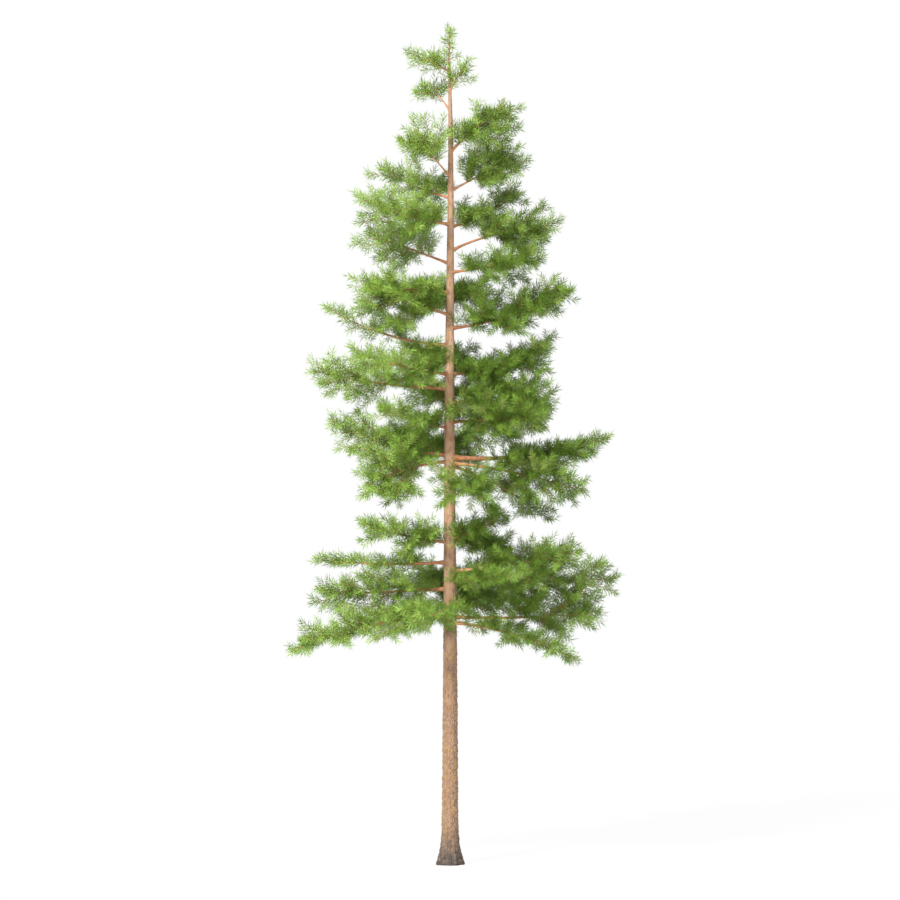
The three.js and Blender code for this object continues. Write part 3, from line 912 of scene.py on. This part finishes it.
def build_foliage(limbs):
    """A mesh of needles for each section of the crown, and one of all twigs' wood.

    Half of the thinning takes shoots, and the other half takes needles from the twigs and shoots left."""
    materials = [needle_material(name, colour) for name, colour in NEEDLE_COLOURS.items()]
    wood = []
    all_nodes = []
    for section, (label, whorls) in enumerate(SECTIONS.items()):
        members = [(index, limb) for index, limb in enumerate(limbs) if limb.name[:2] in whorls]
        twigs = [twig for index, limb in members for twig in limb_twigs(limb, index)]
        nodes = ["foliage_" + limb.name for _, limb in members]
        if "leader" in whorls:
            twigs += leader_twigs()
            nodes.append("foliage_leader")
        rng = np.random.default_rng(section + 1)
        shares = np.sqrt(thinning(twigs, sunny(twigs)))
        twigs = [twig for twig, share in zip(twigs, shares) if twig.order == 1 or rng.random() < share]
        light = sunny(twigs)
        thickness = np.sqrt(thinning(twigs, light))
        # The needles' colours paint light and shade by the twigs' places.
        points, faces, face_colours = needle_pairs(twigs, deal_colours_by_painted_light(light, rng), thickness, rng)
        needles = mesh_object("needles_" + label, points, faces, materials, face_colours)
        dress(needles, "needles", *nodes)
        wood.append(twig_wood([twig for twig in twigs if twig.order == 1], *TWIG_RINGS_SIDES))
        wood.append(twig_wood([twig for twig in twigs if twig.order == 2], *SHOOT_RINGS_SIDES))
        all_nodes += nodes
    piece = mesh_object("twigs", *joined(wood), [twig_material()])
    dress(piece, "bough_bark", *all_nodes)


# ---- floor, light and camera
FLOOR_HALF = 40.0  # half the floor's side
FLOOR_GLOW = 0.95
FLOOR_GREY = (0.026, 0.026, 0.026, 1.0)  # what the floor adds to its glow where the suns reach it
WHITE = (1.0, 1.0, 1.0, 1.0)
# Each sun: its name, its strength, how wide it looks in degrees, and the way to it.
SUNS = [("key", 6.0, 10, (-0.6, -1.0, 0.85)), ("fill", 1.4, 40, (0.3, -1.0, 0.1))]
CAMERA_DISTANCE = 60.0
CAMERA_HEIGHT = 5.907
FRAME_HEIGHT = 12.83  # how much height the picture takes in at the trunk
SENSOR_WIDTH = 36.0  # in millimetres, as the lens is


def floor_material():
    """A floor that lights the tree as white paper does, and that the camera sees just white, with a faint
    shadow: thin needles in front of a floor brighter than white would be eaten away."""
    nodes = Nodes("floor_white")
    nodes.set("Base Color", linear(250, 250, 250))
    nodes.set("Roughness", 0.9)
    glow = nodes.add("ShaderNodeEmission", {"Color": WHITE, "Strength": FLOOR_GLOW})
    grey = nodes.add("ShaderNodeBsdfDiffuse", {"Color": FLOOR_GREY})
    seen = nodes.add("ShaderNodeAddShader", {0: glow.outputs[0], 1: grey.outputs[0]})
    camera_ray = nodes.add("ShaderNodeLightPath").outputs["Is Camera Ray"]
    both = {0: camera_ray, 1: nodes.shader.outputs[0], 2: seen.outputs[0]}
    surface = nodes.add("ShaderNodeMixShader", both).outputs[0]
    nodes.tree.links.new(surface, nodes.tree.nodes["Material Output"].inputs["Surface"])
    return nodes.material


def build_stage(scene):
    """The floor, white light from all around, the suns and the camera."""
    corners = FLOOR_HALF * np.array([[-1, -1, 0], [1, -1, 0], [1, 1, 0], [-1, 1, 0]])
    mesh_object("floor", corners, np.array([[0, 1, 2, 3]]), [floor_material()])

    scene.view_settings.view_transform = "Standard"
    scene.world = bpy.data.worlds.new("studio")
    scene.world.use_nodes = True
    background = scene.world.node_tree.nodes["Background"].inputs
    background["Color"].default_value = WHITE
    background["Strength"].default_value = 1.0

    for name, strength, wide, way in SUNS:
        sun = bpy.data.lights.new(name, "SUN")
        sun.energy = strength
        sun.angle = math.radians(wide)
        light = bpy.data.objects.new(name, sun)
        light.rotation_euler = Vector(way).to_track_quat("Z", "Y").to_euler()
        scene.collection.objects.link(light)

    optics = bpy.data.cameras.new("camera")
    optics.sensor_width = SENSOR_WIDTH
    optics.lens = SENSOR_WIDTH * CAMERA_DISTANCE / FRAME_HEIGHT
    optics.clip_end = 10 * CAMERA_DISTANCE
    camera = bpy.data.objects.new("camera", optics)
    camera.location = (0.0, -CAMERA_DISTANCE, CAMERA_HEIGHT)
    camera.rotation_euler = (math.radians(90), 0.0, 0.0)
    scene.collection.objects.link(camera)
    scene.camera = camera


# ---- the scene
build_trunk()
all_limbs = [Limb(row) for row in LIMB_ROWS]
build_boughs(all_limbs)
build_foliage(all_limbs)
build_stage(bpy.context.scene)
